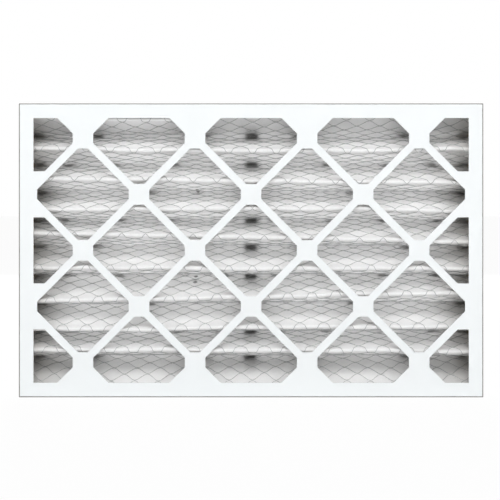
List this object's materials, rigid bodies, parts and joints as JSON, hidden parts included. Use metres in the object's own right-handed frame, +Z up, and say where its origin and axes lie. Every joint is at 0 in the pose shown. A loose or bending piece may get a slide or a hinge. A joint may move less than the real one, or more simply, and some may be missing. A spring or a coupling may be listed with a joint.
{
  "type": "pleated panel air filter",
  "caption": "Rectangular pleated panel air filter: a deep paperboard frame with diamond lattices on both faces, over pleated media backed by expanded metal.",
  "frame": {"origin": "middle of the bottom edge, on the surface that the filter stands on", "axes": "+X along the long side, to the right as seen from the air-leaving face; +Y from the air-leaving face to the air-entering face; +Z up"},
  "size_m": [0.6224, 0.0952, 0.3937],
  "materials": {
    "white_board": "clay-coated white, matte",
    "filter_media": "soft nonwoven",
    "galvanised_mesh": "dull galvanised",
    "adhesive": "satin"
  },
  "bodies": {
    "root": {"front_tray": "white_board", "rear_tray": "white_board", "pleated_media": "filter_media", "wire_backing": "galvanised_mesh", "centre_strap": "white_board", "left_seal": "adhesive", "right_seal": "adhesive", "bottom_seal": "adhesive", "top_seal": "adhesive"}
  },
  "joints": []
}
